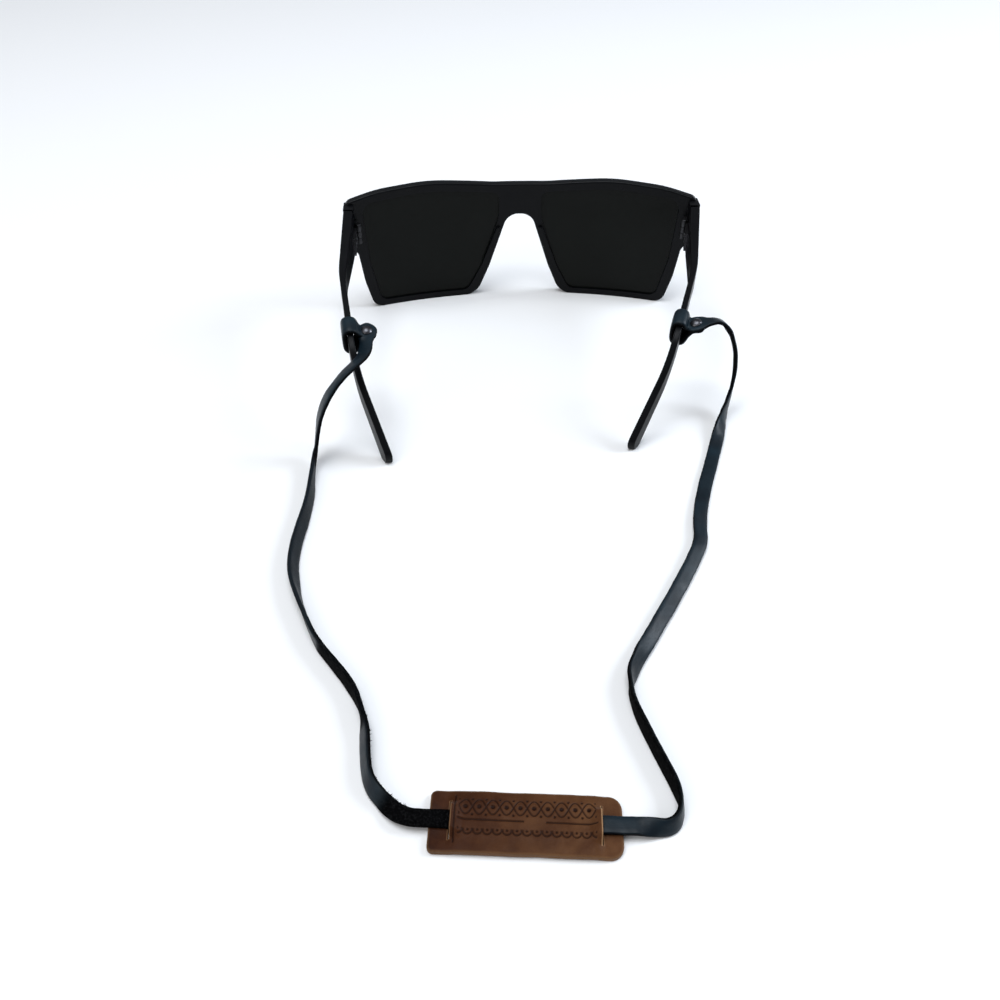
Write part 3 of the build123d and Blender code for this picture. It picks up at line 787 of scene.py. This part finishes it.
# ---------------------------------------------------------------- leather tag
TAG_CORNERS = (1.7, 3.6)    # radii of the left and right corners
CUT_WIDTH = 0.3             # how far the slits gape at rest
LIP_RISE = 1.75             # how far each slit's lip stands up over the lace
LIP_REACH = 4.2             # over what length the lip rises towards its slit
SLIT_FADE = 2.6             # over what length it dies away towards each end of the slit
MARGIN_FALL = 3.4           # over what length the tag comes down past the ends of a slit
SAG = 0.75                  # how far the long edges hang down, as a share of the rise
SAG_FROM = 3.6              # from the tag's middle line to where they start to hang
SAG_REACH = 5.4
RIM = 0.7                   # breadth of the rounded rim
RIM_DROP = 0.32
EDGE_WANDER = 0.16          # how far the long edges are out of straight
UNEVEN = 0.10               # how far the face is out of flat
TAG_GRID = 0.2              # spacing of the tag's mesh

# generic tooling
EMBOSS = 0.34               # depth
STROKE = 0.34               # half the width of a line
BORDER_MIDDLE = 0.3         # x of the middle of the tooled rows
BORDER_HALF = 18.2          # half the length of the tooled rows
BORDER_Y = 3.55             # of the row of waves
WAVE_SWING = 2.15
WAVE_PITCH = 7.3
MESH_DOT = 0.42             # radii of the dots
EDGE_DOT = 0.15
CRESCENT_DOT = 0.12
EDGE_DOT_Y = 2.25
CRESCENT_Y = -3.55
CRESCENT_STEP = 2.6
CRESCENT_RADIUS = 1.15
RULE_HALF = 18.6
RULE_MIDDLE = 0.4
RULE_GAP = (-0.6, 5.4)      # the rule breaks off here
RULE_Y = -0.25
RULE_SLOPE = -0.008
CREASE_X = -18.9            # a creased line across the tag, inside its left slit
CREASE_SPAN = (-6.4, 7.2)
THIN = 0.02                 # what the rule and the crease add to a line's half width


def spread(stops, spacing):
    """Grid lines through all the stops, evenly spaced between them."""
    lines = [stops[0]]
    for begin, end in zip(stops, stops[1:]):
        count = max(1, round((end - begin) / spacing))
        lines += [begin + (end - begin) * step / count for step in range(1, count + 1)]
    return lines


def outside(x, y):
    """Signed distance from the tag's outline, and the way out."""
    corner = TAG_CORNERS[x > 0]
    dx, dy = abs(x) - TAG_LENGTH / 2 + corner, abs(y) - TAG_WIDTH / 2 + corner
    sign_x, sign_y = (1 if x > 0 else -1), (1 if y > 0 else -1)
    if dx > 0 and dy > 0:
        far = hypot(dx, dy)
        return far - corner, (sign_x * dx / far, sign_y * dy / far)
    return (dx - corner, (sign_x, 0)) if dx > dy else (dy - corner, (0, sign_y))


def nearest(value, step, offset=0.0):
    """How far value is from the nearest whole number of steps, counted from offset steps."""
    return value - (round(value / step - offset) + offset) * step


def waves(along, y):
    """Distances from two crossing waves, with a dot in each mesh and small dots above and below."""
    phase = 2 * pi * along / WAVE_PITCH
    slope = WAVE_SWING * 2 * pi / WAVE_PITCH * cos(phase)
    lines = [abs(y - sign * WAVE_SWING * sin(phase)) / hypot(1, slope) for sign in (1, -1)]
    mesh_dot = hypot(nearest(along, WAVE_PITCH / 2, 0.5), y) - MESH_DOT
    edge_dots = [hypot(nearest(along, WAVE_PITCH / 2), y - edge) - EDGE_DOT
                 for edge in (EDGE_DOT_Y, -EDGE_DOT_Y)]
    return lines + [mesh_dot] + edge_dots


def crescents(along, y):
    """Distances from a row of open crescents with a small dot in each."""
    across = nearest(along, CRESCENT_STEP)
    ring = abs(hypot(across, y - 0.55) - CRESCENT_RADIUS)
    return [max(ring, y - 0.75), hypot(across, y - 0.6) - CRESCENT_DOT]


def stamped(x, y):
    """Depth, 0 to 1, of the tooling: a row of waves, a rule and a row of crescents, and a crease."""
    marks = []
    along = x - BORDER_MIDDLE
    if abs(along) < BORDER_HALF:
        marks += waves(along, y - BORDER_Y) + crescents(along, y - CRESCENT_Y)
    if abs(x - RULE_MIDDLE) < RULE_HALF and not RULE_GAP[0] < x < RULE_GAP[1]:
        marks.append(abs(y - RULE_Y - RULE_SLOPE * x) - THIN)
    if CREASE_SPAN[0] < y < CREASE_SPAN[1]:
        marks.append(abs(x - CREASE_X) - THIN)
    return smooth(1 - min(marks) / STROKE) if marks else 0.0


def tag_lift(x, y):
    """How far the tag's underside stands off the floor: up over the lace, down under its two ends."""
    beyond = smooth((SLIT_X + 1.2 - abs(x)) / MARGIN_FALL)
    lip = LIP_RISE * smooth(1 - (SLIT_X - abs(x)) / LIP_REACH)
    at_slit = smooth((SLIT_LENGTH / 2 - abs(y)) / SLIT_FADE)
    through = TAG_RISE + lip if abs(x) < SLIT_X else 0.0
    # the two long edges hang lower than the middle
    sagging = TAG_RISE * (1 - SAG * smooth((abs(y) - SAG_FROM) / SAG_REACH))
    if abs(x) <= SLIT_X - 5:
        return sagging
    return at_slit * through + (1 - at_slit) * sagging * beyond


def cell_corners(i, j):
    return (i, j), (i + 1, j), (i + 1, j + 1), (i, j + 1)


def leather_tag():
    """Slotted tag: its middle stands up over the lace and its margins lie under it."""
    half_x, half_y, half_slit = TAG_LENGTH / 2, TAG_WIDTH / 2, CUT_WIDTH / 2
    columns = spread([-half_x, -SLIT_X - half_slit, -SLIT_X + half_slit, SLIT_X - half_slit,
                      SLIT_X + half_slit, half_x], TAG_GRID)
    rows = spread([-half_y, -SLIT_LENGTH / 2, SLIT_LENGTH / 2, half_y], TAG_GRID)

    def kept(i, j):
        x, y = (columns[i] + columns[i + 1]) / 2, (rows[j] + rows[j + 1]) / 2
        in_slit = abs(abs(x) - SLIT_X) < half_slit and abs(y) < SLIT_LENGTH / 2
        return outside(x, y)[0] < 0 and not in_slit

    cells = [(i, j) for i in range(len(columns) - 1) for j in range(len(rows) - 1) if kept(i, j)]
    count = {}
    for i, j in cells:
        for corner in cell_corners(i, j):
            count[corner] = count.get(corner, 0) + 1
    numbers = {corner: k for k, corner in enumerate(count)}
    top, under, depth, worn = [], [], [], []
    for (i, j), cells_here in count.items():
        x, y = columns[i], rows[j]
        gap, (out_x, out_y) = outside(x, y)
        # points along the outline are moved onto it
        if cells_here < 4 and gap > -1.25 * TAG_GRID:
            x, y = x - gap * out_x, y - gap * out_y
            gap = 0.0
        rim = smooth(1 + gap / RIM)
        lift = tag_lift(x, y)
        press = stamped(x, y)
        at_slit = abs(y) < SLIT_LENGTH / 2 + 0.2 and abs(abs(x) - SLIT_X) < half_slit + 0.25
        wavy = EDGE_WANDER * noise.noise(Vector((x * 0.13, 1 if y > 0 else -1, 3.0))) * (abs(y) / half_y)
        dish = UNEVEN * noise.noise(Vector((x * 0.25, y * 0.3, 7.0)))
        high = TAG_THICKNESS - 0.05 + lift + dish - EMBOSS * press - RIM_DROP * rim * rim
        top.append((x, y + wavy, high))
        under.append((x, y + wavy, max(0.0, lift + 0.10 * rim)))
        depth.append(press)
        # the right slit's raised lip is painted palest, a painted highlight on its lit cut edge; the left slit's
        # cut edge and the worn rim are paler too
        worn.append(1.0 if at_slit and 0 < x < SLIT_X else 0.35 if at_slit else 0.3 * rim)
    faces, sides = [], {}
    size = len(top)
    for i, j in cells:
        ring = [numbers[corner] for corner in cell_corners(i, j)]
        faces.append(tuple(ring))
        faces.append(tuple(size + k for k in reversed(ring)))
        for a, b in zip(ring, ring[1:] + ring[:1]):
            # a side is shared when the cell beside it runs along it the other way
            sides[(a, b)] = (b, a) in sides
            if (b, a) in sides:
                sides[(b, a)] = True
    walls = [(b, a, size + a, size + b) for (a, b), shared in sides.items() if not shared]
    flat = set(range(len(faces), len(faces) + len(walls)))
    made = new_piece("stamped_tag", [TAG @ Vector(point) for point in top + under], faces + walls,
                     TAG_LEATHER, flat)
    paint(made, "stamped", depth + [0.0] * size)
    # 0 at the tag's left end to 1 at its right: how far the brown lightens there
    paint(made, "lighter_rightward", [smooth(0.5 + point[0] / TAG_LENGTH) for point in top + under])
    # the edge values carry the worn rim and slits, and the painted highlight on the right slit's cut edge
    paint(made, "edge", worn + [max(0.45, value) if value > 0.25 else 0.0 for value in worn])
    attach(made, "tag")
    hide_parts("leather_tag")


def woven_lace():
    """The lace over the tag's margins, down through its slits and under its middle."""
    high, low = WOVEN_HEIGHT, WEAVE_PLAY + LACE_THICKNESS / 2
    half = TAG_LENGTH / 2 + LACE_OVERHANG
    side = [(SLIT_X - 8.5, low), (SLIT_X - 4.8, low), (SLIT_X - 2.6, low + 0.7),
            (SLIT_X - 0.4, high - 0.25), (SLIT_X + 1.6, high), (SLIT_X + 4.6, high), (half, high)]
    control = [(-x, z) for x, z in reversed(side)] + side
    line = nurbs_points([TAG @ Vector((x, 0, z)) for x, z in control], 0.5 * MM)
    matt_left = [(-6, TAG_LENGTH / 2, 1.0)]
    made = lace_piece("woven_lace", ribbon_mesh(line, [UP] * len(line), 7.5, rough=0.2, worn=matt_left))
    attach(made, "tag")
    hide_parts("lace_middle")


# ---------------------------------------------------------------- dressing the CAD parts
def dress():
    """Gives every CAD part the material of its slot."""
    chosen = {
        "frame_plastic": frame_plastic(),
        "lens": smoke_lens(),
        "hinge_metal": metal("hinge_metal", (0.045, 0.045, 0.048), 0.42, 0.3),
        "rivet_metal": metal("rivet_metal", (0.10, 0.10, 0.11), 0.30, 0.2),
        "lace_leather": LACE,
        "tag_leather": TAG_LEATHER,
    }
    for row in frame["record"]["subparts"]:
        mesh = frame["nodes"][row["node"]].data
        mesh.materials.clear()
        mesh.materials.append(chosen[row["material_slot"]])
        if row["material_slot"] == "lace_leather":
            mesh.attributes.new("flesh", "FLOAT", "POINT")


LACE = lace_leather()
TAG_LEATHER = tag_leather()
camera()
studio()
floor()
dress()
free_lace("left", 1.5)
free_lace("right", 4.5)
strap_loop("left", 11.5)
strap_loop("right", 14.5)
woven_lace()
leather_tag()
